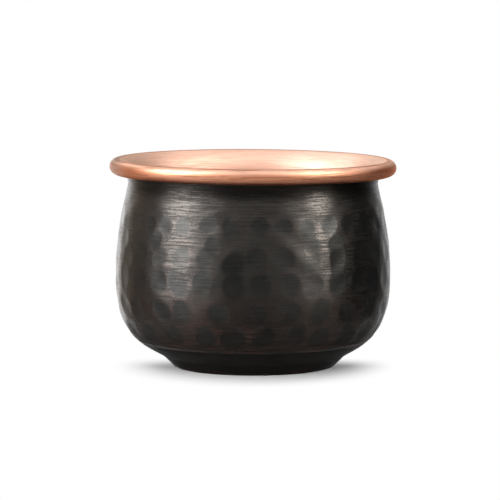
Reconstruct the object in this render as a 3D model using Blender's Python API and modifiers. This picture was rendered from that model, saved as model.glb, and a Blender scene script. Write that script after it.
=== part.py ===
"""A squat copper pot with a hammered outside and a rolled rim.

Two skins nest inside each other. The outer shell is the hammered wall. Its lower edge is
brazed to a beaten dish that forms the bottom and the low foot. The liner is the inside of
the pot: it flares at the mouth, lies over the shell's turned-out edge and rolls round a
wire into the rim bead. Lengths are metres, angles are radians, +Z is up, and the origin
is the middle of the surface that the pot stands on.
"""

import math

import bpy
from mathutils import Vector

# Overall form
POT_HEIGHT = 0.0728
NECK_DIAMETER = 0.0871
BELLY_DIAMETER = 0.0959
BELLY_HEIGHT = 0.0301
NECK_FULLNESS = 0.12
SHOULDER_FULLNESS = 0.55
BELLY_FULLNESS = 0.82
HEEL_FULLNESS = 0.28

# Mouth and rim
LIP_OVERHANG = 0.00645
BEAD_DIAMETER = 0.0054
FLARE_ANGLE = math.radians(60)

# Foot and bottom
FOOT_DIAMETER = 0.0546
FOOT_FLARE = 0.0041
FOOT_HEIGHT = 0.0034
FOOT_INNER_ROUND = 0.0008
STANDING_RING_WIDTH = 0.005
HOLLOW_RAMP_WIDTH = 0.004
HOLLOW_RISE = 0.0006

# Seam between the wall and the bottom
SEAM_ABOVE_HEEL = 0.0062
BRAZE_WIDTH = 0.0008

# Floor of the liner
LINER_HEEL_ABOVE_SEAM = 0.0014
LINER_FLOOR_ROUND = 0.009

# Sheets and fits
SHELL_THICKNESS = 0.0008
LINER_THICKNESS = 0.0007
SEAT_GAP = 0.0003

# Fineness of the turned meshes
TURN_STEPS = 48
WIRE_SIDES = 10
ARC_STEP = math.radians(16)
UPPER_STEPS = 8
LOWER_STEPS = 7
LAP_STEPS = 1
UNDERSIDE_STEPS = 6
MERGE_DISTANCE = 0.00001

# Finishes: colour, roughness
DARK_COPPER = ((0.045, 0.036, 0.033), 0.42)
BARE_COPPER = ((0.85, 0.50, 0.37), 0.30)
BRAZE_METAL = ((0.24, 0.12, 0.08), 0.45)
STEEL_WIRE = ((0.45, 0.45, 0.47), 0.40)


def clear_scene():
    for obj in list(bpy.data.objects):
        bpy.data.objects.remove(obj, do_unlink=True)


def metal(name, finish):
    color, roughness = finish
    material = bpy.data.materials.new(name)
    material.use_nodes = True
    shader = material.node_tree.nodes["Principled BSDF"]
    shader.inputs["Base Color"].default_value = (*color, 1)
    shader.inputs["Metallic"].default_value = 1
    shader.inputs["Roughness"].default_value = roughness
    return material


# A path is a list of (point, travel) pairs in the r, z plane. It runs down the outer face
# of a sheet, so the sheet lies to the right of the direction of travel.


def arc_path(center, radius, start, end):
    turn = math.copysign(1, end - start)
    steps = max(1, round(abs(end - start) / ARC_STEP))
    path = []
    for i in range(steps + 1):
        angle = start + (end - start) * i / steps
        ray = Vector((math.cos(angle), math.sin(angle)))
        path.append((center + radius * ray, turn * Vector((-ray.y, ray.x))))
    return path


def bezier_point(handles, t):
    a, b, c, d = handles
    s = 1 - t
    point = s**3 * a + 3 * s**2 * t * b + 3 * s * t**2 * c + t**3 * d
    speed = 3 * (s**2 * (b - a) + 2 * s * t * (c - b) + t**2 * (d - c))
    return point, speed


def bezier_path(handles, start, end, steps):
    path = []
    for i in range(steps + 1):
        point, speed = bezier_point(handles, start + (end - start) * i / steps)
        path.append((point, speed.normalized()))
    return path


def bezier_at_height(handles, height):
    """The parameter at which a falling curve passes a height."""
    low, high = 0.0, 1.0
    for _ in range(40):
        middle = (low + high) / 2
        if bezier_point(handles, middle)[0].y > height:
            low = middle
        else:
            high = middle
    return low


def joined(*paths):
    """Paths that meet end to start, as one path."""
    whole = list(paths[0])
    for path in paths[1:]:
        whole += path[1:]
    return whole


def sunk(path, depth):
    """The path at a depth under the outer face."""
    return [(at + depth * Vector((travel.y, -travel.x)), travel) for at, travel in path]


def turned_sheet(name, path, thickness, finish):
    """A sheet under a path, turned about Z: a bowl if the path ends on the axis, or a ring."""
    section = sunk(path, thickness)[::-1] + path
    count = len(section)
    edges = [(i, i + 1) for i in range(count - 1)]
    if path[-1][0].x > 0:
        edges.append((count - 1, 0))
    mesh = bpy.data.meshes.new(name)
    mesh.from_pydata([(at.x, 0, at.y) for at, _ in section], edges, [])
    mesh.materials.append(metal(name, finish))
    obj = bpy.data.objects.new(name, mesh)
    screw = obj.modifiers.new("turn", "SCREW")
    screw.steps = screw.render_steps = TURN_STEPS
    screw.use_merge_vertices = True
    screw.merge_threshold = MERGE_DISTANCE
    screw.use_smooth_shade = True
    return obj


# Rim: the liner turns by FLARE_ANGLE on a wide arc and goes on, without a kink, round the
# bead. Both arcs bend the same way, so their centres lie on one line through the joint.

bead_radius = BEAD_DIAMETER / 2
wire_radius = bead_radius - LINER_THICKNESS - SEAT_GAP
shell_neck = NECK_DIAMETER / 2
liner_depth = SHELL_THICKNESS + SEAT_GAP
liner_neck = shell_neck - liner_depth - LINER_THICKNESS
bead_center = Vector((shell_neck + LIP_OVERHANG - bead_radius, POT_HEIGHT - bead_radius))
bead_reach = bead_center.x - liner_neck
flare_radius = bead_reach - bead_radius * math.cos(FLARE_ANGLE)
flare_radius /= 1 - math.cos(FLARE_ANGLE)
centers_apart = flare_radius - bead_radius
flare_center = Vector((liner_neck + flare_radius, bead_center.y))
flare_center.y -= centers_apart * math.sin(FLARE_ANGLE)
shell_flare_radius = flare_radius - LINER_THICKNESS - liner_depth
flare_end = math.pi - FLARE_ANGLE


def shell_flange_angle():
    """Where the shell's turned-out edge stops, short of the wire."""
    reach = wire_radius + SEAT_GAP
    cosine = shell_flare_radius**2 + centers_apart**2 - reach**2
    cosine /= 2 * shell_flare_radius * centers_apart
    return flare_end + math.acos(cosine)


def curl_end_angle():
    """Where the rolled edge closes on the outer face of the shell's flange."""
    cosine = (shell_flare_radius - SEAT_GAP) ** 2 - centers_apart**2 - bead_radius**2
    cosine /= 2 * centers_apart * bead_radius
    return flare_end + math.acos(cosine) - 2 * math.pi


# Foot: the wall leans out from the bottom's rounded edge to the heel, along the tangent

edge_radius = FOOT_INNER_ROUND + SHELL_THICKNESS
edge_center = Vector((FOOT_DIAMETER / 2, edge_radius))
heel = Vector((FOOT_DIAMETER / 2 + FOOT_FLARE, FOOT_HEIGHT))
to_heel = heel - edge_center
edge_angle = math.atan2(to_heel.y, to_heel.x) - math.acos(edge_radius / to_heel.length)
foot_wall = Vector((-math.sin(edge_angle), math.cos(edge_angle)))

# Body: one curve from the neck to the belly, and one from the belly to the heel

neck = Vector((shell_neck, flare_center.y))
belly = Vector((BELLY_DIAMETER / 2, BELLY_HEIGHT))
upper_rise = neck.y - belly.y
lower_drop = belly.y - heel.y
upper_curve = (
    neck,
    neck - Vector((0, NECK_FULLNESS * upper_rise)),
    belly + Vector((0, SHOULDER_FULLNESS * upper_rise)),
    belly,
)
lower_curve = (
    belly,
    belly - Vector((0, BELLY_FULLNESS * lower_drop)),
    heel + HEEL_FULLNESS * (belly.x - heel.x) * foot_wall,
    heel,
)

seam_height = heel.y + SEAM_ABOVE_HEEL
seam = bezier_at_height(lower_curve, seam_height)
liner_heel = bezier_at_height(lower_curve, seam_height + LINER_HEEL_ABOVE_SEAM)
seam_speed = bezier_point(lower_curve, seam)[1].length
braze_span = BRAZE_WIDTH / 2 / seam_speed
edge_span = (BRAZE_WIDTH / 2 + SEAT_GAP) / seam_speed


def wall_path():
    """The outer face from the neck to the height of the liner's heel, where both skins nest."""
    return joined(
        bezier_path(upper_curve, 0, 1, UPPER_STEPS),
        bezier_path(lower_curve, 0, liner_heel, LOWER_STEPS),
    )


def outer_shell():
    path = joined(
        arc_path(flare_center, shell_flare_radius, shell_flange_angle(), math.pi),
        wall_path(),
        bezier_path(lower_curve, liner_heel, seam - edge_span, LAP_STEPS),
    )
    return turned_sheet("outer_shell", path, SHELL_THICKNESS, DARK_COPPER)


def base_dish():
    underside = bezier_path(lower_curve, seam + edge_span, 1, UNDERSIDE_STEPS)
    edge = arc_path(edge_center, edge_radius, edge_angle, -math.pi / 2)
    ring_inner = FOOT_DIAMETER / 2 - STANDING_RING_WIDTH
    inwards = Vector((-1, 0))
    hollow = [
        (Vector((ring_inner, 0)), inwards),
        (Vector((ring_inner - HOLLOW_RAMP_WIDTH, HOLLOW_RISE)), inwards),
        (Vector((0, HOLLOW_RISE)), inwards),
    ]
    path = underside + edge + hollow
    return turned_sheet("base_dish", path, SHELL_THICKNESS, DARK_COPPER)


def base_braze():
    path = bezier_path(lower_curve, seam - braze_span, seam + braze_span, 1)
    return turned_sheet("base_braze", path, SHELL_THICKNESS, BRAZE_METAL)


def floor_path(wall_end):
    """The liner's outer face from the foot of its wall, round to its flat floor."""
    at, travel = wall_end
    radius = LINER_FLOOR_ROUND + LINER_THICKNESS
    center = at + radius * Vector((travel.y, -travel.x))
    start = math.atan2(travel.x, -travel.y)
    middle = (Vector((0, center.y - radius)), Vector((-1, 0)))
    return arc_path(center, radius, start, -math.pi / 2) + [middle]


def inner_liner():
    bead_under = bead_radius - LINER_THICKNESS
    flare_under = flare_radius - LINER_THICKNESS
    wall = sunk(wall_path(), liner_depth)
    outermost, crest = 0, math.pi / 2
    path = joined(
        arc_path(bead_center, bead_under, curl_end_angle(), outermost),
        arc_path(bead_center, bead_under, outermost, crest),
        arc_path(bead_center, bead_under, crest, flare_end),
        arc_path(flare_center, flare_under, flare_end, math.pi),
        wall,
        floor_path(wall[-1]),
    )
    return turned_sheet("inner_liner", path, LINER_THICKNESS, BARE_COPPER)


def rim_wire():
    bpy.ops.mesh.primitive_torus_add(
        major_segments=TURN_STEPS,
        minor_segments=WIRE_SIDES,
        major_radius=bead_center.x,
        minor_radius=wire_radius,
        location=(0, 0, bead_center.y),
    )
    wire = bpy.context.object
    wire.name = wire.data.name = "rim_wire"
    wire.data.materials.append(metal("rim_wire", STEEL_WIRE))
    wire.data.shade_smooth()
    return wire


def main():
    clear_scene()
    pot = bpy.data.collections.new("copper_pot")
    bpy.context.scene.collection.children.link(pot)
    for make in (outer_shell, base_braze, base_dish, inner_liner, rim_wire):
        obj = make()
        for other in list(obj.users_collection):
            other.objects.unlink(obj)
        pot.objects.link(obj)


main()
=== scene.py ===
import math
import random

import bmesh
import bpy
import numpy as np
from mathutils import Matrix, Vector


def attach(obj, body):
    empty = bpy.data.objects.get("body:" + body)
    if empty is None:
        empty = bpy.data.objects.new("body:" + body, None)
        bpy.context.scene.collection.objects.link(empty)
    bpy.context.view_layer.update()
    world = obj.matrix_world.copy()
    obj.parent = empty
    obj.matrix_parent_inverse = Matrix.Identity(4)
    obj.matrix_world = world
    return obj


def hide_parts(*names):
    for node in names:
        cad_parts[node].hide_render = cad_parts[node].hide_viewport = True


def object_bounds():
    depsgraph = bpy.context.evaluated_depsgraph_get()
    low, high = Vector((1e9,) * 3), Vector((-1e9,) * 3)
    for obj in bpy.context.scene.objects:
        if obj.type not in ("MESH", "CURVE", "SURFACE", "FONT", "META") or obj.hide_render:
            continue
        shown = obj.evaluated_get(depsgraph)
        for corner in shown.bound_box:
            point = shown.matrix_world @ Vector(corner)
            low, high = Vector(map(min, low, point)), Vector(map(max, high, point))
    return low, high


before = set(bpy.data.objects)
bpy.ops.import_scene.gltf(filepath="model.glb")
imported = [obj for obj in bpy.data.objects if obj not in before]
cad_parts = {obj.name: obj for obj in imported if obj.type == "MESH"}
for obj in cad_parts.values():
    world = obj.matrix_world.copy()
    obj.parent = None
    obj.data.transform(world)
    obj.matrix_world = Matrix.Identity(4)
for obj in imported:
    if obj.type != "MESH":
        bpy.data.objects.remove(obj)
cadLow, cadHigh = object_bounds()
print("frame loaded:", sorted(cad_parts))

# The turned form in metres, with the same sizes as the solids
form = {
    "height": cadHigh.z,
    "rimRadius": cadHigh.x,
    "neckRadius": 0.04355,
    "bellyRadius": 0.04795,
    "bellyHeight": 0.0301,
    "neckFullness": 0.12,
    "shoulderFullness": 0.55,
    "bellyFullness": 0.82,
    "heelFullness": 0.28,
    "beadRadius": 0.0027,
    "flareAngle": math.radians(60),
    "footRadius": 0.0273,
    "footFlare": 0.0041,
    "footHeight": 0.0034,
    "footEdgeRound": 0.0016,
    "standingRing": 0.005,
    "hollowRamp": 0.004,
    "hollowRise": 0.0006,
    "seamHeight": 0.0096,
    "seamHalfWidth": 0.0007,
    "brazeGap": 0.00003,
    "linerHeelHeight": 0.011,
    "linerFloorRound": 0.009,
    "shellSheet": 0.0008,
    "linerSheet": 0.0007,
    "seatGap": 0.0003,
}

# Small faults of a pot made by hand
handMade = {
    "rimDrop": 0.0008,  # how much lower the rim is on its low side
    "rimLowSide": math.radians(65),  # from the front to the right
    "rimDropFrom": 0.030,
    "footShift": 0.0004,  # how far the foot sits to the right
    "footShiftFrom": 0.012,
}

# How the sections become meshes
meshing = {
    "curveSteps": 4000,  # to find a height on a curve
    "curveProbe": 0.01,  # share of a curve to measure its length by
    "axisReach": 0.001,  # a section that starts nearer to the axis than this is closed there
    "weldReach": 1e-7,
    "sharpAngle": math.radians(50),
}


def point(r, z):
    return np.array((r, z))


def arc(center, radius, start, end, steps):
    angle = np.linspace(start, end, steps + 1)
    return center + radius * np.column_stack((np.cos(angle), np.sin(angle)))


def bezier(handles, start, end, steps):
    t = np.linspace(start, end, steps + 1)[:, None]
    s = 1 - t
    a, b, c, d = handles
    return s**3 * a + 3 * s**2 * t * b + 3 * s * t**2 * c + t**3 * d


def line(start, end, steps):
    return np.linspace(start, end, steps + 1)


def chain(*runs):
    return np.concatenate([runs[0]] + [run[1:] for run in runs[1:]])


def bezierAtHeight(handles, height):
    fine = bezier(handles, 0, 1, meshing["curveSteps"])
    return np.argmin(np.abs(fine[:, 1] - height)) / meshing["curveSteps"]


def underFace(path, depth):
    # the sheet lies to the right of the way the path runs
    travel = np.gradient(path, axis=0)
    travel /= np.linalg.norm(travel, axis=1)[:, None]
    return path + depth * np.column_stack((travel[:, 1], -travel[:, 0]))


def smooth(low, high, value):
    t = np.clip((value - low) / (high - low), 0, 1)
    return t * t * (3 - 2 * t)


def cornerAngle(near, far, opposite):
    return math.acos((near**2 + far**2 - opposite**2) / (2 * near * far))


# Rim: flare and bead bend the same way, so both centres lie on one line through their joint
wireRadius = form["beadRadius"] - form["linerSheet"] - form["seatGap"]
linerDepth = form["shellSheet"] + form["seatGap"]
linerNeck = form["neckRadius"] - linerDepth - form["linerSheet"]
beadCenter = point(form["rimRadius"] - form["beadRadius"], form["height"] - form["beadRadius"])
flareCos, flareSin = math.cos(form["flareAngle"]), math.sin(form["flareAngle"])
flareRadius = (beadCenter[0] - linerNeck - form["beadRadius"] * flareCos) / (1 - flareCos)
centersApart = flareRadius - form["beadRadius"]
flareCenter = point(linerNeck + flareRadius, beadCenter[1] - centersApart * flareSin)
flareEnd = math.pi - form["flareAngle"]
shellFlareRadius = flareRadius - form["linerSheet"] - linerDepth
flangeStart = flareEnd + cornerAngle(shellFlareRadius, centersApart, wireRadius + form["seatGap"])
curlReach = shellFlareRadius - form["seatGap"]
curlEnd = flareEnd - math.pi - cornerAngle(centersApart, form["beadRadius"], curlReach)

# Foot and wall
footEdge = point(form["footRadius"], form["footEdgeRound"])
heel = point(form["footRadius"] + form["footFlare"], form["footHeight"])
toHeel = heel - footEdge
footEdgeAngle = math.atan2(toHeel[1], toHeel[0])
footEdgeAngle -= math.acos(form["footEdgeRound"] / np.linalg.norm(toHeel))
footWall = point(-math.sin(footEdgeAngle), math.cos(footEdgeAngle))
neck = point(form["neckRadius"], flareCenter[1])
belly = point(form["bellyRadius"], form["bellyHeight"])
rise, drop = neck[1] - belly[1], belly[1] - heel[1]
upperCurve = (
    neck,
    neck - point(0, form["neckFullness"] * rise),
    belly + point(0, form["shoulderFullness"] * rise),
    belly,
)
lowerCurve = (
    belly,
    belly - point(0, form["bellyFullness"] * drop),
    heel + form["heelFullness"] * (belly[0] - heel[0]) * footWall,
    heel,
)
seamAt = bezierAtHeight(lowerCurve, form["seamHeight"])
linerHeelAt = bezierAtHeight(lowerCurve, form["linerHeelHeight"])
probe = meshing["curveProbe"]
seamStep = bezier(lowerCurve, seamAt - probe, seamAt + probe, 1)
seamSpan = form["seamHalfWidth"] * 2 * probe / np.linalg.norm(seamStep[1] - seamStep[0])


def sheetSection(path, thickness):
    return np.concatenate((underFace(path, thickness)[::-1], path))


def turnedRings(section, around):
    # the first column is at the back of the pot
    turn = math.pi / 2 + np.arange(around) * 2 * math.pi / around
    r, z = section[:, 0][:, None], section[:, 1][:, None]
    return np.stack((r * np.cos(turn), r * np.sin(turn), z + 0 * turn), axis=-1)


def settle(rings):
    # the rim hangs a little on one side, and the foot sits a little off the middle
    x, y, z = [rings[..., i].copy() for i in range(3)]
    towards = x * math.sin(handMade["rimLowSide"]) - y * math.cos(handMade["rimLowSide"])
    upper = smooth(handMade["rimDropFrom"], form["height"], z)
    rings[..., 2] -= handMade["rimDrop"] * upper * (0.5 + 0.5 * towards / form["rimRadius"])
    lower = 1 - smooth(form["footHeight"], handMade["footShiftFrom"], z)
    rings[..., 0] += handMade["footShift"] * lower
    return rings


def turnedPiece(name, rings, node, material, marks=None):
    rows, around = rings.shape[:2]
    onAxis = abs(rings[0, 0, 0]) + abs(rings[0, 0, 1]) < meshing["axisReach"]
    index = np.arange(rows * around).reshape(rows, around)
    if not onAxis:
        index = np.vstack((index, index[:1]))
    here, below = index[:-1], index[1:]
    quads = np.stack((here, below, np.roll(below, -1, 1), np.roll(here, -1, 1)), axis=-1)
    mesh = bpy.data.meshes.new(name)
    mesh.from_pydata(rings.reshape(-1, 3).tolist(), [], quads.reshape(-1, 4).tolist())
    for label, values in (marks or {}).items():
        mesh.attributes.new(label, "FLOAT", "POINT").data.foreach_set("value", values.ravel())
    if onAxis:
        build = bmesh.new()
        build.from_mesh(mesh)
        bmesh.ops.remove_doubles(build, verts=build.verts, dist=meshing["weldReach"])
        build.to_mesh(mesh)
        build.free()
    mesh.shade_smooth()
    mesh.set_sharp_from_angle(angle=meshing["sharpAngle"])
    mesh.materials.append(material)
    piece = bpy.data.objects.new(name, mesh)
    bpy.context.scene.collection.objects.link(piece)
    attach(piece, "root")
    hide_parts(node)
    print(name, "made with", len(mesh.polygons), "faces")
    return piece


# Finishes. Where a look has four numbers in a row, they are from, to, and the values at both.

def startMetal(name):
    material = bpy.data.materials.new(name)
    material.use_nodes = True
    tree = material.node_tree
    shader = tree.nodes["Principled BSDF"]
    shader.inputs["Metallic"].default_value = 1
    return material, tree, shader


def feed(tree, socket, value):
    if isinstance(value, bpy.types.NodeSocket):
        tree.links.new(value, socket)
    else:
        socket.default_value = value


def calc(tree, operation, first, second=0.0, third=0.0):
    step = tree.nodes.new("ShaderNodeMath")
    step.operation = operation
    for socket, value in zip(step.inputs, (first, second, third)):
        feed(tree, socket, value)
    return step.outputs[0]


def times(tree, first, second):
    return calc(tree, "MULTIPLY", first, second)


def spread(tree, value, low, high, toLow=0.0, toHigh=1.0):
    step = tree.nodes.new("ShaderNodeMapRange")
    step.interpolation_type = "SMOOTHSTEP"
    for socket, number in zip(step.inputs, (value, low, high, toLow, toHigh)):
        feed(tree, socket, number)
    return step.outputs[0]


def between(tree, share, first, second):
    return spread(tree, share, 0.0, 1.0, first, second)


def tint(tree, share, first, second, blend="MIX"):
    step = tree.nodes.new("ShaderNodeMix")
    step.data_type = "RGBA"
    step.blend_type = blend
    feed(tree, step.inputs["Factor"], share)
    for socket, color in ((step.inputs["A"], first), (step.inputs["B"], second)):
        feed(tree, socket, color if isinstance(color, bpy.types.NodeSocket) else (*color, 1))
    return step.outputs["Result"]


def ramp(tree, share, stops):
    step = tree.nodes.new("ShaderNodeValToRGB")
    marks = step.color_ramp.elements
    while len(marks) < len(stops):
        marks.new(1.0)
    for mark, (at, color) in zip(marks, stops):
        mark.position = at
        mark.color = (*color, 1)
    feed(tree, step.inputs[0], share)
    return step.outputs[0]


def placeOnPot(tree):
    # place, height and distance from the axis, from the object's own coordinates
    place = tree.nodes.new("ShaderNodeTexCoord").outputs["Object"]
    parts = tree.nodes.new("ShaderNodeSeparateXYZ")
    tree.links.new(place, parts.inputs[0])
    x, y, z = parts.outputs
    radius = calc(tree, "SQRT", calc(tree, "ADD", times(tree, x, x), times(tree, y, y)))
    return {"all": place, "x": x, "y": y, "z": z, "radius": radius}


# Grain of all the brushed lines
lineGrain = {
    "outward": 0.5,  # how much a line's number goes up with the radius, for the flat places
    "rowJump": 5.37,  # keeps neighbouring lines from looking alike
    "detail": 3,
    "roughness": 0.6,
}


def ringLines(tree, place, across, along, seed):
    # lines round the pot, each with its own run of strong and weak places
    climb = calc(tree, "MULTIPLY_ADD", place["radius"], lineGrain["outward"], place["z"])
    row = calc(tree, "FLOOR", calc(tree, "DIVIDE", climb, across))
    lengths = form["bellyRadius"] / along
    pack = tree.nodes.new("ShaderNodeCombineXYZ")
    for socket, way in zip(pack.inputs, (place["x"], place["y"])):
        feed(tree, socket, times(tree, calc(tree, "DIVIDE", way, place["radius"]), lengths))
    feed(tree, pack.inputs["Z"], calc(tree, "ADD", times(tree, row, lineGrain["rowJump"]), seed))
    grain = tree.nodes.new("ShaderNodeTexNoise")
    feed(tree, grain.inputs["Vector"], pack.outputs[0])
    grain.inputs["Scale"].default_value = 1
    grain.inputs["Detail"].default_value = lineGrain["detail"]
    grain.inputs["Roughness"].default_value = lineGrain["roughness"]
    return grain.outputs["Fac"]


def cloud(tree, place, size, seed):
    patch = tree.nodes.new("ShaderNodeTexNoise")
    patch.noise_dimensions = "4D"
    feed(tree, patch.inputs["Vector"], place["all"])
    patch.inputs["W"].default_value = seed
    patch.inputs["Scale"].default_value = 1 / size
    return patch.outputs["Fac"]


def pressed(tree, shader, height, depth):
    bump = tree.nodes.new("ShaderNodeBump")
    bump.inputs["Distance"].default_value = depth
    feed(tree, bump.inputs["Height"], height)
    feed(tree, shader.inputs["Normal"], bump.outputs[0])


def tilted(tree, shader, lean):
    # leans the surface up or down, line by line
    up = tree.nodes.new("ShaderNodeCombineXYZ")
    feed(tree, up.inputs["Z"], lean)
    add = tree.nodes.new("ShaderNodeVectorMath")
    feed(tree, add.inputs[0], tree.nodes.new("ShaderNodeNewGeometry").outputs["Normal"])
    feed(tree, add.inputs[1], up.outputs[0])
    whole = tree.nodes.new("ShaderNodeVectorMath")
    whole.operation = "NORMALIZE"
    feed(tree, whole.inputs[0], add.outputs[0])
    feed(tree, shader.inputs["Normal"], whole.outputs[0])


def brushedRound(tree, shader, amount):
    # brushing runs round the pot, so the shine is drawn out up and down
    tangent = tree.nodes.new("ShaderNodeTangent")
    tangent.direction_type = "RADIAL"
    tangent.axis = "Z"
    feed(tree, shader.inputs["Tangent"], tangent.outputs[0])
    shader.inputs["Anisotropic"].default_value = amount
    shader.inputs["Anisotropic Rotation"].default_value = 0.25  # a quarter turn


def markValue(tree, label):
    step = tree.nodes.new("ShaderNodeAttribute")
    step.attribute_name = label
    return step.outputs["Fac"]


patinaLook = {
    "groundDark": (0.061, 0.056, 0.052),
    "groundLight": (0.081, 0.074, 0.068),
    "roughness": (0.54, 0.32),  # of the dark and the light lines
    "brushed": 0.72,
    "lineWidth": 0.00024,
    "lineLength": 0.011,
    "lineSeed": 3.0,
    "lineLean": 0.40,
    "lineColors": (0.36, 0.64),  # how strong a line is where it is darkest and lightest
    "lineGloss": (-0.10, 0.10),
    "glance": (0.40, 0.72, 1.0, 0.2),  # the gloss of the lines evens out at a glancing angle
    "speckSize": 0.0006,
    "speckSeed": 11.0,
    "speckShare": 0.30,
    "patchSize": 0.012,
    "patchSeed": 5.0,
    "patches": (0.3, 0.7),
    # marks
    "crisp": (0.018, 0.032, 0.45, 1.0),  # the low marks fade out at their edges
    "markFade": (-0.4, 0.8, 0.90, 0.52),  # a mark fades out earlier towards its bottom
    "markBlur": (-0.30, 1.36),  # where the fade ends, nearer for a crisp mark
    "faintSize": 0.006,
    "faintSeed": 17.0,
    "faint": (0.38, 0.60, 0.35, 1.0),  # parts of the lower marks are worn away
    "faintBelow": (0.042, 0.050),
    "markTint": (0.80, 0.86, 0.89),  # the marks are a little cooler than the ground
    "shadeAndToneTint": (0.64, 0.66, 0.66),  # and a few are darker: painted shade on the front marks listed dark, random tone on the rest
    "shadeAndToneEdge": (0.75, 1.45, 1.0, 0.0),
    "netTint": (0.96, 0.85, 0.82),  # the ground between the lower marks is darker and redder
    "netTop": (0.024, 0.033, 1.0, 0.0),
    "markRoughness": (0.026, 0.036, 0.52, 0.40),  # of the low and the high marks
    "markLean": 0.5,
    # rubbed places
    "rubbedColor": (0.150, 0.062, 0.042),
    "rubbedPatches": (0.3, 1.7),
    "rubbedLines": (0.50, 0.66),
    "rimInside": (0.94, 1.0),  # a thin line round each mark
    "rimOutside": (1.14, 1.02),
    "rubbedRim": (-0.5, 0.7, 0.13, 0.08),
    "rubbedGround": (0.98, 1.06, 0.0, 0.045),
    "rubbedLow": (0.022, 0.034, 3.6, 1.0),  # times as much between the low marks
    "rubbedTop": (0.0585, 0.0560),  # and nothing above the rows
    "rubbedFoot": (0.0004, 0.0022, 0.3, 0.0),  # on the edge of the foot
    # dark places
    "baseTint": (0.17, 0.17, 0.17),  # the bottom and the lowest marks are blackest
    "baseDark": (0.94, 1.0),
    "baseShine": 0.55,  # how white the bottom turns at a glancing angle
    "shineFrom": (0.010, 0.020),  # heights over which the wall takes its full shine
    "dark": (0.010, 0.031, 0.66, 0.0),
    "darkMark": 1.5,  # times as dark in a mark
    "darkest": (0.84, 0.72),  # of the ground and the marks
    "belt": (0.033, 0.047, 0.13, 0.0),  # the belly is a little darker than the neck
    "shadeUnderBeadTint": (0.42, 0.41, 0.40),  # painted shade under the bead, where the bead's overhang shades the neck
    "shadeUnderBead": (0.0597, 0.0640),
}


def hammeredFinish(tree, shader, place, look, finish):
    # changes the finish in and round the marks, and returns how rubbed and how dark the wall is
    height = place["z"]
    edge = markValue(tree, "markEdge")  # 1 on the edge of a mark, less inside it
    fall = markValue(tree, "markFall")  # from the top of a mark, at -1, to its bottom
    crisp = spread(tree, height, *look["crisp"])
    within = times(tree, spread(tree, fall, *look["markFade"]), crisp)
    beyond = calc(tree, "MULTIPLY_ADD", crisp, *look["markBlur"])
    inMark = spread(tree, edge, within, beyond, 1.0, 0.0)
    faint = spread(tree, cloud(tree, place, look["faintSize"], look["faintSeed"]), *look["faint"])
    inMark = times(tree, inMark, spread(tree, height, *look["faintBelow"], faint, 1.0))
    color = tint(tree, inMark, finish["color"], look["markTint"], "MULTIPLY")
    shadeAndTone = times(tree, spread(tree, edge, *look["shadeAndToneEdge"]), markValue(tree, "markShadeAndTone"))
    color = tint(tree, shadeAndTone, color, look["shadeAndToneTint"], "MULTIPLY")
    net = times(tree, spread(tree, height, *look["netTop"]), calc(tree, "SUBTRACT", 1.0, inMark))
    color = tint(tree, net, color, look["netTint"], "MULTIPLY")
    # painted shade: the neck darkens just under the bead
    finish["color"] = tint(tree, spread(tree, height, *look["shadeUnderBead"]), color, look["shadeUnderBeadTint"], "MULTIPLY")
    markRoughness = spread(tree, height, *look["markRoughness"])
    finish["roughness"] = between(tree, inMark, finish["roughness"], markRoughness)
    finish["lean"] = times(tree, finish["lean"], between(tree, inMark, 1.0, look["markLean"]))
    rim = times(tree, spread(tree, edge, *look["rimInside"]), spread(tree, edge, *look["rimOutside"]))
    rim = times(tree, rim, spread(tree, fall, *look["rubbedRim"]))
    ground = times(tree, spread(tree, edge, *look["rubbedGround"]), spread(tree, height, *look["rubbedLow"]))
    ground = times(tree, ground, spread(tree, height, *look["rubbedTop"]))
    dark = times(tree, spread(tree, height, *look["dark"]), between(tree, inMark, 1.0, look["darkMark"]))
    dark = calc(tree, "ADD", dark, spread(tree, height, *look["belt"]))
    dark = calc(tree, "MINIMUM", dark, between(tree, inMark, *look["darkest"]))
    shine = spread(tree, height, *look["shineFrom"], look["baseShine"], 1.0)
    feed(tree, shader.inputs["Specular Tint"], shine)
    return calc(tree, "ADD", rim, ground), dark


def patina(name, look, marked):
    material, tree, shader = startMetal(name)
    place = placeOnPot(tree)
    lines = ringLines(tree, place, look["lineWidth"], look["lineLength"], look["lineSeed"])
    specks = calc(tree, "SUBTRACT", cloud(tree, place, look["speckSize"], look["speckSeed"]), 0.5)
    streak = calc(tree, "MULTIPLY_ADD", specks, look["speckShare"], lines)
    glance = tree.nodes.new("ShaderNodeLayerWeight").outputs["Facing"]
    even = spread(tree, glance, *look["glance"])
    gloss = times(tree, calc(tree, "SUBTRACT", streak, 0.5), even)
    light = spread(tree, streak, *look["lineColors"])
    patch = cloud(tree, place, look["patchSize"], look["patchSeed"])
    finish = {
        "color": tint(tree, light, look["groundDark"], look["groundLight"]),
        "roughness": spread(tree, gloss, *look["lineGloss"], *look["roughness"]),
        "lean": times(tree, gloss, look["lineLean"]),
    }
    if marked:
        rubbed, dark = hammeredFinish(tree, shader, place, look, finish)
    else:
        rubbed = spread(tree, place["z"], *look["rubbedFoot"])
        dark = spread(tree, patch, *look["patches"], *look["baseDark"])
        shader.inputs["Specular Tint"].default_value = (look["baseShine"],) * 3 + (1,)
    color = tint(tree, dark, finish["color"], look["baseTint"], "MULTIPLY")
    rubbed = times(tree, rubbed, spread(tree, patch, *look["patches"], *look["rubbedPatches"]))
    rubbed = times(tree, rubbed, spread(tree, streak, *look["rubbedLines"]))
    feed(tree, shader.inputs["Base Color"], tint(tree, rubbed, color, look["rubbedColor"]))
    feed(tree, shader.inputs["Roughness"], finish["roughness"])
    brushedRound(tree, shader, look["brushed"])
    tilted(tree, shader, finish["lean"])
    return material


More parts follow.
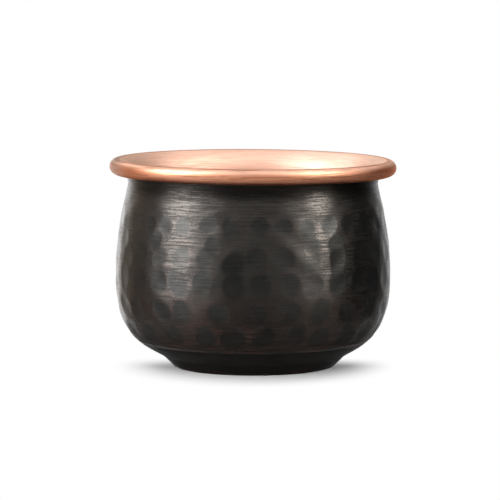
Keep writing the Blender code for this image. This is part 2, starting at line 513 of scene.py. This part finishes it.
copperLook = {
    "insideColor": (0.82, 0.555, 0.437),
    "insideHighlightColor": (0.90, 0.70, 0.58),
    "insideHighlight": (0.004, 0.026, 0.0, 0.75),  # painted highlight: the inside is lighter on the right
    "insideShadeColor": (0.48, 0.325, 0.255),
    "insideShadeLeft": (-0.024, -0.046, 0.0, 0.85),  # and darker towards its ends, a painted shade
    "insideShadeRight": (0.034, 0.045, 0.0, 0.62),
    "tarnish": (0.50, 0.28, 0.19),
    "tarnishLines": (0.46, 0.66),
    "lineShare": (0.34, 0.46),  # how tarnished the lines are inside and on the bead
    "tarnishPatches": (0.48, 0.75, 0.0, 0.06),
    "patchSize": 0.010,
    "patchSeed": 2.0,
    "lineWidth": 0.00030,
    "lineLength": 0.016,
    # kinds of brushed line: times that width, times that length, and a seed
    "lines": {"fine": (1, 1, 7.0), "scratch": (1.4, 1, 27.0), "coarse": (5, 2, 21.0)},
    "lineLean": (0.12, 0.90),  # inside and on the bead
    "lineRange": (0.3, 0.7),
    "insideRoughness": (0.60, 0.70),
    "roughness": (0.54, 0.42),  # of the bead's dark and light lines
    "underRoughness": 0.55,  # of the bead's lower half
    "lowerHalf": (0.60, 0.40),
    # colour round the bead, from its underside up to its crest, with painted shade on the underside and a
    # painted dark reflection line at the crest
    "bead": (
        (-0.88, (0.16, 0.062, 0.042)),
        (-0.52, (0.66, 0.285, 0.175)),
        (-0.20, (0.92, 0.42, 0.25)),
        (0.30, (0.92, 0.42, 0.25)),
        (0.50, (0.85, 0.48, 0.342)),
        (0.89, (0.84, 0.505, 0.368)),
        (0.95, (0.36, 0.17, 0.11)),
    ),
    "beadFrom": (0.0016, 0.0002),  # inside the middle of the bead
    "beadLean": -0.20,  # bends the shine of the bead down, as if its top were a little flat
    "wander": (-0.02, 0.02),  # how far the colours wander up and down the bead
    "brownTintAndShade": (0.46, 0.145, 0.062),
    "brownAndShadeLeft": (-0.032, -0.044),  # the bead gets browner towards the left: partly discolouring, partly painted shade at that end
    "brownAndShadeLeftShare": (0.10, 0.55, 0.45, 0.95),
    "brownAndShadeRight": (0.034, 0.046),  # and towards the right, also partly painted shade
    "brownAndShadeRightShare": 0.85,
    "stainTop": (0.85, 0.66),
    "stainLines": (0.36, 0.56, 0.35, 1.0),
    "scratched": (0.80, 0.60, 0.22, 0.48),  # brown in the lines, less on the upper half
    "scratchLines": (0.47, 0.62),
    "ends": (0.0425, 0.0485, 0.0, 0.75),  # painted reflection and shade at the bead's left and right ends
    "rightSide": (-0.01, 0.01),
    "endLeft": (0.56, 0.43, 0.37),
    "endRight": (0.70, 0.205, 0.09),
    "endTop": (0.60, 0.82),
    "endTopLeft": (0.17, 0.15, 0.14),
    "endTopRight": (0.46, 0.245, 0.17),
    "shine": (0.90, 0.74, 0.66),  # colour at a glancing angle
    "under": (0.42, 0.12),
    "underShadeShine": (0.52, 0.38, 0.31),  # the same under the bead, darker there as painted shade
    "paintedEndShine": (0.58, 0.48, 0.43),  # and at its left end, a painted reflection
}


def beadLevel(tree, place, look, coarse):
    # 0 at the underside of the bead and 1 at its crest, on a rim that hangs to one side
    slope = handMade["rimDrop"] / 2 / form["rimRadius"]
    side = handMade["rimLowSide"]
    hang = calc(tree, "MULTIPLY_ADD", place["x"], slope * math.sin(side), handMade["rimDrop"] / 2)
    hang = calc(tree, "MULTIPLY_ADD", place["y"], -slope * math.cos(side), hang)
    level = calc(tree, "SUBTRACT", calc(tree, "ADD", place["z"], hang), beadCenter[1])
    level = calc(tree, "MULTIPLY_ADD", level, 0.5 / form["beadRadius"], 0.5)
    return calc(tree, "ADD", level, spread(tree, coarse, *look["lineRange"], *look["wander"]))


def insideColor(tree, place, look):
    # painted highlight on the right of the inside
    insideHighlight = spread(tree, place["x"], *look["insideHighlight"])
    color = tint(tree, insideHighlight, look["insideColor"], look["insideHighlightColor"])
    # painted shade towards the left and right ends of the inside
    left = spread(tree, place["x"], *look["insideShadeLeft"])
    right = spread(tree, place["x"], *look["insideShadeRight"])
    return tint(tree, calc(tree, "ADD", left, right), color, look["insideShadeColor"])


def brownedShadedBead(tree, place, look, level, lines):
    # the ramp holds painted shade under the bead and a painted reflection line at its crest
    color = ramp(tree, level, [(at / 2 + 0.5, stop) for at, stop in look["bead"]])
    # browner towards both ends of the bead: discolouring mottled by the coarse lines, and painted shade; the
    # same colour browns the scratch lines
    left = spread(tree, place["x"], *look["brownAndShadeLeft"])
    left = times(tree, left, spread(tree, level, *look["brownAndShadeLeftShare"]))
    right = spread(tree, place["x"], *look["brownAndShadeRight"])
    brownedAndShaded = calc(tree, "MULTIPLY_ADD", right, look["brownAndShadeRightShare"], left)
    brownedAndShaded = times(tree, brownedAndShaded, spread(tree, level, *look["stainTop"]))
    brownedAndShaded = times(tree, brownedAndShaded, spread(tree, lines["coarse"], *look["stainLines"]))
    color = tint(tree, brownedAndShaded, color, look["brownTintAndShade"])
    scratched = spread(tree, lines["scratch"], *look["scratchLines"])
    scratched = times(tree, spread(tree, level, *look["scratched"]), scratched)
    return tint(tree, scratched, color, look["brownTintAndShade"])


def paintedEndColor(tree, look, level, onRight):
    lower = tint(tree, onRight, look["endLeft"], look["endRight"])
    upper = tint(tree, onRight, look["endTopLeft"], look["endTopRight"])
    return tint(tree, spread(tree, level, *look["endTop"]), lower, upper)


def brushedCopper(name, look):
    material, tree, shader = startMetal(name)
    place = placeOnPot(tree)
    lines = {}
    for label, (wide, long, seed) in look["lines"].items():
        lines[label] = ringLines(tree, place, look["lineWidth"] * wide, look["lineLength"] * long, seed)
    fine = lines["fine"]
    patch = cloud(tree, place, look["patchSize"], look["patchSeed"])
    level = beadLevel(tree, place, look, lines["coarse"])
    onBead = spread(tree, place["radius"], *[beadCenter[0] - inside for inside in look["beadFrom"]])
    onRight = spread(tree, place["x"], *look["rightSide"])
    # painted reflection and shade at the ends of the bead
    atEnd = spread(tree, calc(tree, "ABSOLUTE", place["x"]), *look["ends"])
    bead = brownedShadedBead(tree, place, look, level, lines)
    bead = tint(tree, atEnd, bead, paintedEndColor(tree, look, level, onRight))
    color = tint(tree, onBead, insideColor(tree, place, look), bead)
    lineShare = between(tree, onBead, *look["lineShare"])
    tarnished = spread(tree, fine, *look["tarnishLines"], 0.0, lineShare)
    color = tint(tree, tarnished, color, look["tarnish"])
    color = tint(tree, spread(tree, patch, *look["tarnishPatches"]), color, look["tarnish"])
    feed(tree, shader.inputs["Base Color"], color)
    # painted shade: the glancing shine is darker under the bead
    under = times(tree, spread(tree, level, *look["under"]), onBead)
    shine = tint(tree, under, look["shine"], look["underShadeShine"])
    leftEnd = times(tree, atEnd, calc(tree, "SUBTRACT", onBead, onRight))
    feed(tree, shader.inputs["Specular Tint"], tint(tree, leftEnd, shine, look["paintedEndShine"]))
    outer = spread(tree, fine, *look["lineRange"], *look["roughness"])
    outer = spread(tree, level, *look["lowerHalf"], outer, look["underRoughness"])
    inner = spread(tree, fine, *look["lineRange"], *look["insideRoughness"])
    feed(tree, shader.inputs["Roughness"], between(tree, onBead, inner, outer))
    lineLean = between(tree, onBead, *look["lineLean"])
    bentOut = times(tree, onBead, look["beadLean"])
    lean = calc(tree, "MULTIPLY_ADD", calc(tree, "SUBTRACT", fine, 0.5), lineLean, bentOut)
    tilted(tree, shader, lean)
    return material


brazeLook = {
    "around": 288,
    "steps": 6,
    "fillerColor": (0.010, 0.0095, 0.009),
    "rubbedColor": (0.050, 0.022, 0.016),
    "rubbedLines": (0.42, 0.60),
    "rubbedPatches": (0.42, 0.62),
    "patchSize": 0.007,
    "patchSeed": 8.0,
    "roughness": (0.3, 0.7, 0.42, 0.55),
    "lineWidth": 0.0003,
    "lineLength": 0.006,
    "lineSeed": 31.0,
    "lineDepth": 0.000012,
}


def brazeMetal(name, look):
    material, tree, shader = startMetal(name)
    place = placeOnPot(tree)
    fine = ringLines(tree, place, look["lineWidth"], look["lineLength"], look["lineSeed"])
    patch = cloud(tree, place, look["patchSize"], look["patchSeed"])
    rub = times(tree, spread(tree, fine, *look["rubbedLines"]), spread(tree, patch, *look["rubbedPatches"]))
    feed(tree, shader.inputs["Base Color"], tint(tree, rub, look["fillerColor"], look["rubbedColor"]))
    feed(tree, shader.inputs["Roughness"], spread(tree, fine, *look["roughness"]))
    pressed(tree, shader, fine, look["lineDepth"])
    return material


wireLook = {
    "around": 192,
    "sides": 20,
    "color": (0.45, 0.45, 0.47),
    "rust": (0.16, 0.09, 0.06),
    "rustPatches": (0.5, 0.7, 0.0, 0.5),
    "patchSize": 0.006,
    "patchSeed": 9.0,
    "roughness": (0.3, 0.7, 0.3, 0.5),
    "lineWidth": 0.0004,
    "lineLength": 0.01,
    "lineSeed": 41.0,
    "lineDepth": 0.000006,
}


def drawnSteel(name, look):
    material, tree, shader = startMetal(name)
    place = placeOnPot(tree)
    fine = ringLines(tree, place, look["lineWidth"], look["lineLength"], look["lineSeed"])
    patch = cloud(tree, place, look["patchSize"], look["patchSeed"])
    rust = spread(tree, patch, *look["rustPatches"])
    feed(tree, shader.inputs["Base Color"], tint(tree, rust, look["color"], look["rust"]))
    feed(tree, shader.inputs["Roughness"], spread(tree, fine, *look["roughness"]))
    pressed(tree, shader, fine, look["lineDepth"])
    return material


# Hammered wall

shellLook = {
    "around": 640,
    "rowStep": 0.00052,
    "wallSteps": 400,  # on each curve of the wall, before its rows are spaced evenly
    "flangeSteps": 8,
    "hiddenRows": 10,
    "markDepth": 1.1,  # 1 is flat round the pot, more is hollow
    "unevenDepth": 0.25,
    "unevenSize": 0.11,
    "unevenHeight": 0.0008,
    "unevenPitch": 0.22,
    "lean": 0.22,
    "lobes": (0.07, 0.05),  # how far a mark departs from an oval, with two and with three bulges
    "reach": 3.0,  # how far out a mark is felt, in its own sizes
    "plainGround": 2.0,  # this far out there is only ground
    "darkShare": 0.2,  # of the marks at the back
    "plainDark": 0.25,
    "waves": 24,  # slow unevenness of the beaten wall
    "waveDepth": 0.000035,
    "wavesAround": (12, 30),
    "waveLength": (0.007, 0.016),
    "swell": 0.0002,  # the ridges stand out between the marks, above the belly
    "swellFrom": (0.026, 0.044),
    "plainNeck": 0.008,  # waves and swell grow over this length from the neck down
    "seed": 12,
}

# Rows of hammer marks: height, half width, half height, and the marks that face the front, in
# degrees to the right. Each row goes on round the back at its own pitch, and a pitch of 360
# is a mark that stands alone.
# the front marks listed as dark are painted shade
hammerRows = (
    {"height": 0.0526, "wide": 0.0029, "tall": 0.0035, "pitch": 10.8,
     "dark": {3: 0.55},
     "front": (-60, -49, -40, -31, -19, -10, 3, 13, 23, 34, 44, 56)},
    {"height": 0.0464, "wide": 0.0031, "tall": 0.0037, "pitch": 24,
     "dark": {36.5: 1.0},
     "front": (-45, -17, 25, 36.5)},
    {"height": 0.0412, "wide": 0.0034, "tall": 0.0044, "pitch": 11.6,
     "dark": {-8: 1.0, 1: 0.3, 37: 1.0},
     "front": (-54, -42, -31, -20, -8, 1, 13, 37, 50)},
    {"height": 0.0330, "wide": 0.0037, "tall": 0.0048, "pitch": 11.8,
     "dark": {-8: 0.9, 3: 0.3, 36.5: 1.0},
     "front": (-54, -42, -32, -21, -8, 3, 15, 25, 36.5, 49)},
    {"height": 0.0230, "wide": 0.0042, "tall": 0.0043, "pitch": 13.8,
     "dark": {-41: 0.7, -31: 0.9, 29: 1.0, 43: 0.6},
     "front": (-57, -41, -31, -14, 1, 14, 29, 43, 57)},
    {"height": 0.0153, "wide": 0.0042, "tall": 0.0047, "pitch": 13.8,
     "dark": {},
     "front": (-53, -37, -21, -9, 5, 19, 30, 45, 58)},
    {"height": 0.0371, "wide": 0.0030, "tall": 0.0036, "pitch": 360, "dark": {36.5: 1.0}, "front": (36.5,)},
    {"height": 0.0400, "wide": 0.0031, "tall": 0.0040, "pitch": 360, "dark": {25: 0.0}, "front": (25,)},
)


def rowAngles(row, dice):
    # every mark of a row with how much darker it is than the others, painted shade where listed dark
    marks = []
    for angle in row["front"]:
        plain = dice.uniform(0.0, shellLook["plainDark"])
        marks.append((angle, row["dark"].get(angle, plain)))
    first, last = row["front"][0], row["front"][-1]
    more = round((360 - last + first) / row["pitch"]) - 1
    step = (360 - last + first) / (more + 1)
    for i in range(more):
        isDark = dice.random() < shellLook["darkShare"]
        dark = 1.0 if isDark else dice.uniform(0.0, shellLook["plainDark"])
        uneven = dice.uniform(-shellLook["unevenPitch"], shellLook["unevenPitch"])
        marks.append((last + step * (i + 1 + uneven), dark))
    return [(math.radians(angle), dark) for angle, dark in marks]


def hammerField(path, run, turn):
    # how far the marks cut in, how near each point is to the closest mark (under 1 is inside),
    # how far down that mark it lies, and how dark that mark is
    # the darkness is painted shade for the front marks listed dark, random tone elsewhere
    dice = random.Random(shellLook["seed"])
    uneven, far = shellLook["unevenSize"], shellLook["plainGround"]
    deepest, shallowest = 1 + shellLook["unevenDepth"], 1 - shellLook["unevenDepth"]
    depth = np.zeros((len(path), len(turn)))
    near = np.full(depth.shape, shellLook["reach"] ** 2)
    fall, dark = np.zeros(depth.shape), np.zeros(depth.shape)
    for row in hammerRows:
        for angle, shadeAndTone in rowAngles(row, dice):
            height = row["height"] + dice.uniform(-1, 1) * shellLook["unevenHeight"]
            wide = row["wide"] * (1 + dice.uniform(-uneven, uneven))
            tall = row["tall"] * (1 + dice.uniform(-uneven, uneven))
            lean = dice.uniform(-1, 1) * shellLook["lean"]
            starts = dice.uniform(0, 2 * math.pi), dice.uniform(0, 2 * math.pi)
            middle = np.argmin(np.abs(path[:, 1] - height))
            away = (turn - angle + math.pi) % (2 * math.pi) - math.pi
            across = path[:, 0][:, None] * away[None, :]
            along = (run - run[middle])[:, None] + 0 * across
            u = (across * math.cos(lean) + along * math.sin(lean)) / wide
            v = (along * math.cos(lean) - across * math.sin(lean)) / tall
            way = np.arctan2(v, u)
            two, three = shellLook["lobes"]
            edge = 1 + two * np.sin(2 * way + starts[0]) + three * np.sin(3 * way + starts[1])
            q = (u * u + v * v) / edge**2
            flat = wide**2 / (2 * path[middle, 0])  # depth of a mark that is flat round the pot
            cut = shellLook["markDepth"] * flat * dice.uniform(shallowest, deepest)
            depth = np.maximum(depth, cut * (1 - q))
            closer = q < near
            fall = np.where(closer, np.clip(v, -far, far), fall)
            dark = np.where(closer, shadeAndTone, dark)
            near = np.minimum(near, q)
    return depth, {"markEdge": np.minimum(np.sqrt(near), far), "markFall": fall, "markShadeAndTone": dark}


def slowWaves(run, turn):
    dice = random.Random(shellLook["seed"] + 1)
    wave = np.zeros((len(run), len(turn)))
    for i in range(shellLook["waves"]):
        around, along = dice.randint(*shellLook["wavesAround"]), dice.uniform(*shellLook["waveLength"])
        phase, tip = dice.uniform(0, 2 * math.pi), dice.uniform(0, 2 * math.pi)
        upDown = np.sin(2 * math.pi * run / along + phase)
        wave += upDown[:, None] * np.sin(around * turn + tip)[None, :]
    usual = math.sqrt(shellLook["waves"]) / 2  # how large so many waves are together
    return shellLook["waveDepth"] * wave / usual


def hammeredShell():
    flange = arc(flareCenter, shellFlareRadius, flangeStart, math.pi, shellLook["flangeSteps"])
    wall = chain(
        bezier(upperCurve, 0, 1, shellLook["wallSteps"]),
        bezier(lowerCurve, 0, seamAt - seamSpan, shellLook["wallSteps"]),
    )
    run = np.concatenate(([0], np.cumsum(np.linalg.norm(np.diff(wall, axis=0), axis=1))))
    even = np.linspace(0, run[-1], round(run[-1] / shellLook["rowStep"]))
    wall = np.column_stack((np.interp(even, run, wall[:, 0]), np.interp(even, run, wall[:, 1])))
    path = chain(flange, wall)
    inside = underFace(path, form["shellSheet"])
    keep = np.linspace(0, len(path) - 1, shellLook["hiddenRows"]).astype(int)
    section = np.concatenate((inside[keep][::-1], path))
    around = shellLook["around"]
    rings = turnedRings(section, around)
    turn = math.pi + np.arange(around) * 2 * math.pi / around  # 0 faces the front
    depth, marks = hammerField(wall, even, turn)
    fromNeck = smooth(0, shellLook["plainNeck"], even)
    depth += slowWaves(even, turn) * fromNeck[:, None]
    depth -= (shellLook["swell"] * fromNeck * smooth(*shellLook["swellFrom"], wall[:, 1]))[:, None]
    inward = underFace(wall, 1.0) - wall
    first = len(section) - len(wall)
    way = turn - math.pi / 2
    rings[first:, :, 0] += depth * inward[:, 0][:, None] * np.cos(way)
    rings[first:, :, 1] += depth * inward[:, 0][:, None] * np.sin(way)
    rings[first:, :, 2] += depth * inward[:, 1][:, None]
    for label, values in marks.items():
        marks[label] = np.full(rings.shape[:2], shellLook["plainGround"])
        marks[label][first:] = values
    return turnedPiece(
        "hammeredShell", settle(rings), "outer_shell",
        patina("blackenedCopper", patinaLook, True), marks,
    )


# Bottom dish

baseLook = {"around": 288, "wallSteps": 40, "footSteps": 6, "edgeSteps": 8, "ringSteps": 8, "floorSteps": 16}


def baseDish():
    ringInner = form["footRadius"] - form["standingRing"]
    rampInner = ringInner - form["hollowRamp"]
    footTop = footEdge + form["footEdgeRound"] * point(math.cos(footEdgeAngle), math.sin(footEdgeAngle))
    path = chain(
        bezier(lowerCurve, seamAt + seamSpan, 1, baseLook["wallSteps"]),
        line(heel, footTop, baseLook["footSteps"]),
        arc(footEdge, form["footEdgeRound"], footEdgeAngle, -math.pi / 2, baseLook["edgeSteps"]),
        line(point(form["footRadius"], 0), point(ringInner, 0), baseLook["ringSteps"]),
        line(point(ringInner, 0), point(rampInner, form["hollowRise"]), baseLook["ringSteps"]),
        line(point(rampInner, form["hollowRise"]), point(0, form["hollowRise"]), baseLook["floorSteps"]),
    )
    rings = turnedRings(sheetSection(path, form["shellSheet"]), baseLook["around"])
    return turnedPiece(
        "baseDish", settle(rings), "base_dish",
        patina("smoothBlackCopper", patinaLook, False),
    )


def brazeRing():
    span = seamSpan * (1 - form["brazeGap"] / form["seamHalfWidth"])
    path = bezier(lowerCurve, seamAt - span, seamAt + span, brazeLook["steps"])
    rings = turnedRings(sheetSection(path, form["shellSheet"]), brazeLook["around"])
    return turnedPiece(
        "brazeSeam", settle(rings), "base_braze",
        brazeMetal("brazeFiller", brazeLook),
    )


# Liner with the rolled rim

linerLook = {
    "around": 288,
    "wallSteps": 36,
    "curlSteps": 16,
    "beadSteps": 12,
    "crestSteps": 5,
    "flareSteps": 14,
    "cornerSteps": 12,
    "floorSteps": 16,
}


def copperLiner():
    look = linerLook
    beadUnder = form["beadRadius"] - form["linerSheet"]
    flareUnder = flareRadius - form["linerSheet"]
    wall = chain(
        bezier(upperCurve, 0, 1, look["wallSteps"]),
        bezier(lowerCurve, 0, linerHeelAt, look["wallSteps"]),
    )
    wall = underFace(wall, linerDepth)
    travel = wall[-1] - wall[-2]
    travel /= np.linalg.norm(travel)
    floorRadius = form["linerFloorRound"] + form["linerSheet"]
    floorCenter = wall[-1] + floorRadius * point(travel[1], -travel[0])
    floorStart = math.atan2(travel[0], -travel[1])
    floorFoot = floorCenter - point(0, floorRadius)
    path = chain(
        arc(beadCenter, beadUnder, curlEnd, 0, look["curlSteps"]),
        arc(beadCenter, beadUnder, 0, math.pi / 2, look["beadSteps"]),
        arc(beadCenter, beadUnder, math.pi / 2, flareEnd, look["crestSteps"]),
        arc(flareCenter, flareUnder, flareEnd, math.pi, look["flareSteps"]),
        wall,
        arc(floorCenter, floorRadius, floorStart, -math.pi / 2, look["cornerSteps"]),
        line(floorFoot, point(0, floorFoot[1]), look["floorSteps"]),
    )
    rings = turnedRings(sheetSection(path, form["linerSheet"]), look["around"])
    return turnedPiece(
        "copperLiner", settle(rings), "inner_liner",
        brushedCopper("brushedCopper", copperLook),
    )


def rimWire():
    circle = arc(beadCenter, wireRadius, 0, -2 * math.pi, wireLook["sides"])[:-1]
    rings = turnedRings(circle, wireLook["around"])
    return turnedPiece(
        "rimWire", settle(rings), "rim_wire",
        drawnSteel("drawnSteel", wireLook),
    )


hammeredShell()
baseDish()
brazeRing()
copperLiner()
rimWire()


# Studio: pale floor, two soft boxes with a wider glow each, and surroundings that the pot mirrors

studio = {
    "target": (0, 0, 0.045),  # what the soft boxes point at
    "floorSize": 1.6,
    "floorColor": (0.9, 0.9, 0.9),
    "fade": (0.055, 0.090),  # from the floor's paper to plain white
    "fadeSeen": (0.031, 0.051, 1.0, 0.0),  # the same as the camera sees it, nearer the pot: painted light over the pot's shadow
    "fadeBehind": (-0.007, 0.020, 1.0, 0.0),
    "fadeDepth": 1.15,
    # light on the floor: all round, more from the front and a little more from the left
    "floorLight": {"round": 0.84, "front": 6.2, "left": 0.80},
    "floorTop": (0.35, 0.75, 1.0, 0.35),  # and less of it from above
    "walls": (0.0, 0.12),  # between these heights the low ring goes over to the walls
    "sky": (0.44, 0.64),  # and between these the walls turn white
    # brightness of the surroundings, by degrees to the right of the camera's side
    "lowLevels": (
        (-180, 1.1), (-166, 1.9), (-153, 2.2), (-146, (0.50, 0.39, 0.30)),
        (-92, 0.28), (-82, (0.82, 0.88, 0.95)), (-52, (0.82, 0.88, 0.95)),
        (-40, 0.45), (-18, 0.30), (6, 0.30), (26, 0.34), (44, 0.38), (55, 0.40), (65, 0.38),
        (70, 0.12), (84, 0.05), (138, 0.06), (148, 0.60), (165, 1.2), (180, 1.1),
    ),
    "wallLevels": (
        (-180, 1.1), (-166, 2.0), (-148, 2.8), (-142, (0.53, 0.415, 0.31)), (-60, 0.36), (0, 0.39),
        (45, 0.36), (84, 0.05), (138, 0.06), (148, 0.60), (165, 1.2), (180, 1.1),
    ),
}

# Side and lift in degrees from the front, sizes in metres
softBoxes = {
    "leftBox": {"side": -66, "lift": 21, "away": 0.9, "wide": 0.43, "tall": 0.76,
                "level": 6.0, "color": (1, 0.995, 1)},
    "leftGlow": {"side": -60, "lift": 24, "away": 1.0, "wide": 0.92, "tall": 0.86,
                 "level": 1.7, "color": (1, 0.995, 1)},
    "rightBox": {"side": 63, "lift": 31, "away": 0.9, "wide": 0.22, "tall": 0.76,
                 "level": 8.7, "color": (1, 0.97, 0.93)},
    "rightGlow": {"side": 55, "lift": 27, "away": 1.0, "wide": 0.58, "tall": 0.86,
                  "level": 1.4, "color": (1, 0.97, 0.93)},
}


def addFloor():
    bpy.ops.mesh.primitive_plane_add(size=studio["floorSize"], location=(0, 0, 0))
    floor = bpy.context.object
    floor.name = "paleFloor"
    material = bpy.data.materials.new("paleFloor")
    material.use_nodes = True
    tree = material.node_tree
    tree.nodes.remove(tree.nodes["Principled BSDF"])
    place = placeOnPot(tree)
    paper = tree.nodes.new("ShaderNodeBsdfDiffuse")
    paper.inputs["Color"].default_value = (*studio["floorColor"], 1)
    white = tree.nodes.new("ShaderNodeEmission")
    clear = tree.nodes.new("ShaderNodeBsdfTransparent")
    rays = tree.nodes.new("ShaderNodeLightPath")
    distant = tree.nodes.new("ShaderNodeMixShader")  # white to the camera, the surroundings to the pot
    feed(tree, distant.inputs["Fac"], rays.outputs["Is Camera Ray"])
    feed(tree, distant.inputs[1], clear.outputs[0])
    feed(tree, distant.inputs[2], white.outputs[0])
    blend = tree.nodes.new("ShaderNodeMixShader")
    # painted light: to the camera the paper turns white behind the pot and beyond an oval in front, over the
    # pot's own shadow
    depth = calc(tree, "DIVIDE", place["y"], studio["fadeDepth"])
    around = calc(tree, "MULTIPLY_ADD", depth, depth, times(tree, place["x"], place["x"]))
    shadow = spread(tree, calc(tree, "SQRT", around), *studio["fadeSeen"])
    shadow = times(tree, shadow, spread(tree, place["y"], *studio["fadeBehind"]))
    seen = times(tree, calc(tree, "SUBTRACT", 1.0, shadow), rays.outputs["Is Camera Ray"])
    fade = calc(tree, "MAXIMUM", spread(tree, place["radius"], *studio["fade"]), seen)
    feed(tree, blend.inputs["Fac"], fade)
    feed(tree, blend.inputs[1], paper.outputs[0])
    feed(tree, blend.inputs[2], distant.outputs[0])
    feed(tree, tree.nodes["Material Output"].inputs["Surface"], blend.outputs[0])
    floor.data.materials.append(material)


def levelRing(tree, turned, levels):
    stops = []
    for side, level in levels:
        color = level if isinstance(level, tuple) else (level,) * 3
        stops.append((side / 360 + 0.5, color))
    return ramp(tree, turned, stops)


def addWorld():
    world = bpy.data.worlds.new("studio")
    bpy.context.scene.world = world
    world.use_nodes = True
    world.cycles.sampling_method = "NONE"
    tree = world.node_tree
    back = tree.nodes["Background"]
    rays = tree.nodes.new("ShaderNodeLightPath")
    parts = tree.nodes.new("ShaderNodeSeparateXYZ")
    tree.links.new(tree.nodes.new("ShaderNodeTexCoord").outputs["Generated"], parts.inputs[0])
    x, y, z = parts.outputs
    side = calc(tree, "ARCTAN2", x, times(tree, y, -1.0))
    turned = calc(tree, "MULTIPLY_ADD", side, 1 / (2 * math.pi), 0.5)
    low, wall = [levelRing(tree, turned, studio[levels]) for levels in ("lowLevels", "wallLevels")]
    seen = tint(tree, spread(tree, z, *studio["walls"]), low, wall)
    seen = tint(tree, spread(tree, z, *studio["sky"]), seen, (1, 1, 1))
    light = studio["floorLight"]
    onFloor = calc(tree, "MULTIPLY_ADD", x, -light["left"], light["round"])
    front = calc(tree, "MINIMUM", y, 0.0)
    onFloor = calc(tree, "MULTIPLY_ADD", times(tree, front, front), light["front"], onFloor)
    onFloor = times(tree, onFloor, spread(tree, z, *studio["floorTop"]))
    shown = tint(tree, rays.outputs["Is Glossy Ray"], onFloor, seen)
    plain = calc(tree, "MAXIMUM", rays.outputs["Is Camera Ray"], rays.outputs["Is Transmission Ray"])
    feed(tree, back.inputs["Color"], tint(tree, plain, shown, (1, 1, 1)))


def addSoftBox(name, box):
    lamp = bpy.data.lights.new(name, "AREA")
    lamp.shape = "RECTANGLE"
    lamp.size, lamp.size_y = box["wide"], box["tall"]
    lamp.energy = math.pi * box["wide"] * box["tall"] * box["level"]
    lamp.color = box["color"]
    holder = bpy.data.objects.new(name, lamp)
    side, lift = math.radians(box["side"]), math.radians(box["lift"])
    way = Vector((math.sin(side) * math.cos(lift), -math.cos(side) * math.cos(lift), math.sin(lift)))
    holder.location = Vector(studio["target"]) + way * box["away"]
    holder.rotation_euler = way.to_track_quat("Z", "Y").to_euler()
    holder.visible_camera = holder.visible_diffuse = False
    bpy.context.scene.collection.objects.link(holder)


cameraSetup = {
    "away": 1.100,
    "height": 0.15195,
    "pitch": 0.101,  # looks down by this angle
    "side": -0.00104,
    "pixelFocal": 3161.6,  # focal length in pixels
    "pixels": 500,  # width of the picture that this is for
    "sensor": 36.0,
}


def addCamera():
    data = bpy.data.cameras.new("photoCamera")
    data.sensor_width = cameraSetup["sensor"]
    data.lens = cameraSetup["pixelFocal"] * cameraSetup["sensor"] / cameraSetup["pixels"]
    camera = bpy.data.objects.new("photoCamera", data)
    camera.location = (cameraSetup["side"], -cameraSetup["away"], cameraSetup["height"])
    camera.rotation_euler = (math.pi / 2 - cameraSetup["pitch"], 0, 0)
    bpy.context.scene.collection.objects.link(camera)
    bpy.context.scene.camera = camera


addFloor()
addWorld()
for boxName, softBox in softBoxes.items():
    addSoftBox(boxName, softBox)
addCamera()
bpy.context.scene.view_settings.view_transform = "Standard"
print("studio ready")
